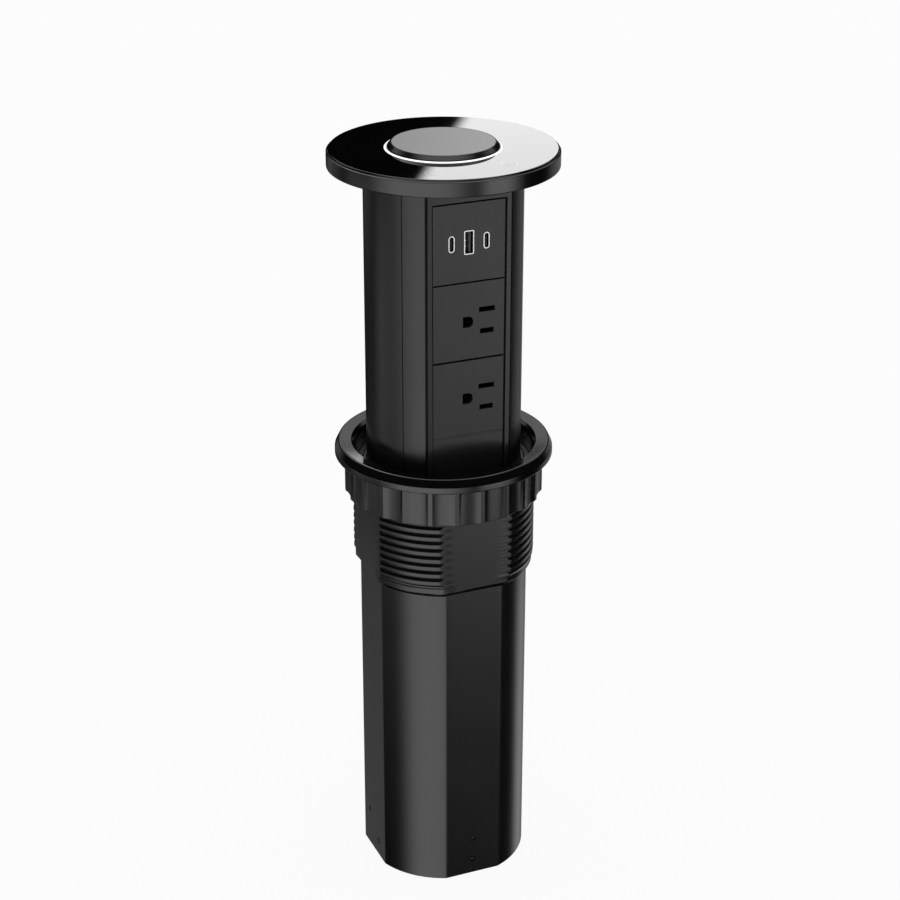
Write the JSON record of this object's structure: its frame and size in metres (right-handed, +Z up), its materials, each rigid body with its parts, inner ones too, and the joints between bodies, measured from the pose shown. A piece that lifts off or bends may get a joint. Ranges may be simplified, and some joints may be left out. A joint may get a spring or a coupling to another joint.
{
  "type": "pop up desk socket",
  "caption": "Motorised pop up desk socket: round column with outlets and charging ports, glass top with wireless charger, threaded collar with lock nut.",
  "frame": {"origin": "centre of the lower tube's end, which is the lowest face", "axes": "+Z up along the column, -Y out of the socket face, +X to the right as the sockets are faced"},
  "size_m": [0.13, 0.13, 0.4519],
  "materials": {
    "tube_black": "satin black anodised extrusion",
    "column_black": "satin black anodised extrusion",
    "collar_black": "satin black moulded plastic",
    "rim_black": "satin black",
    "panel_black": "fine matt black plastic",
    "glass_black": "polished black back-painted glass",
    "light_white": "milky light guide",
    "puck_black": "gloss black",
    "pad_grey": "matt soft-touch top",
    "rubber_black": "matt",
    "steel": "plain",
    "steel_black": "blackened screws",
    "brass": "plain",
    "bronze": "plain nut",
    "plastic_white": "inner moulding",
    "plastic_dark": "inner moulding",
    "board_green": "circuit board",
    "copper": "copper winding",
    "ferrite": "ferrite sheet",
    "zinc": "die cast"
  },
  "bodies": {
    "housing": {"base_cover": "plastic_dark", "bearing_plate": "zinc", "control_board": "board_green", "cord_gland": "plastic_dark", "cover_screws": "steel_black", "desk_flange": "collar_black", "desk_gasket": "rubber_black", "drive_housing": "plastic_dark", "drive_motor": "steel", "flange_screws": "steel", "gearbox": "zinc", "gland_nut": "plastic_dark", "guide_bush": "plastic_white", "home_sensor": "plastic_dark", "lift_relay": "plastic_white", "lower_tube": "tube_black", "motor_standoffs": "brass", "plate_screws": "steel", "power_supply": "plastic_white", "screw_bearing": "steel", "standoff_screws": "steel", "supply_lead": "rubber_black", "threaded_collar": "collar_black", "tube_screws": "steel_black", "wiper_ring": "rubber_black"},
    "column": {"column_shell": "column_black", "front_frame": "panel_black", "blank_plate": "panel_black", "outlet_upper": "panel_black", "outlet_lower": "panel_black", "outlet_backs": "plastic_dark", "contact_clips": "brass", "usb_module": "panel_black", "usb_board": "board_green", "usb_a_port": "steel", "usb_c_ports": "steel", "head_rim": "rim_black", "head_screws": "steel", "glass_panel": "glass_black", "led_ring": "light_white", "charger_puck": "puck_black", "puck_pad": "pad_grey", "charger_coil": "copper", "coil_shield": "ferrite", "charger_board": "board_green", "touch_board": "board_green", "column_harness": "rubber_black", "column_foot": "plastic_dark", "foot_screws": "steel", "lead_nut": "bronze", "lead_nut_screws": "steel", "home_magnet": "steel"},
    "screw": {"lead_screw": "steel", "shaft_coupler": "zinc", "output_shaft": "steel"},
    "washer": {"clamp_washer": "plastic_dark"},
    "nut": {"lock_nut": "collar_black"}
  },
  "joints": [
    {"name": "lift", "type": "slide", "parent": "housing", "child": "column", "axis": [0, 0, 1], "range_m": [-0.1635, 0], "deforming": ["supply_lead"]},
    {"name": "screw_spin", "type": "hinge", "parent": "housing", "child": "screw", "pos_m": [0, 0.022, 0.06], "axis": [0, 0, 1], "range_deg": [0, 7358]},
    {"name": "nut_climb", "type": "slide", "parent": "housing", "child": "washer", "axis": [0, 0, 1], "range_m": [-0.0406, 0]},
    {"name": "nut_turn", "type": "hinge", "parent": "washer", "child": "nut", "pos_m": [0, 0, 0.255], "axis": [0, 0, 1], "range_deg": [-3102, 0]}
  ],
  "couplings": [
    {"joint": "screw_spin", "follows": "lift", "rad_per_m": -785.4},
    {"joint": "nut_climb", "follows": "nut_turn", "m_per_rad": 0.00074803}
  ]
}
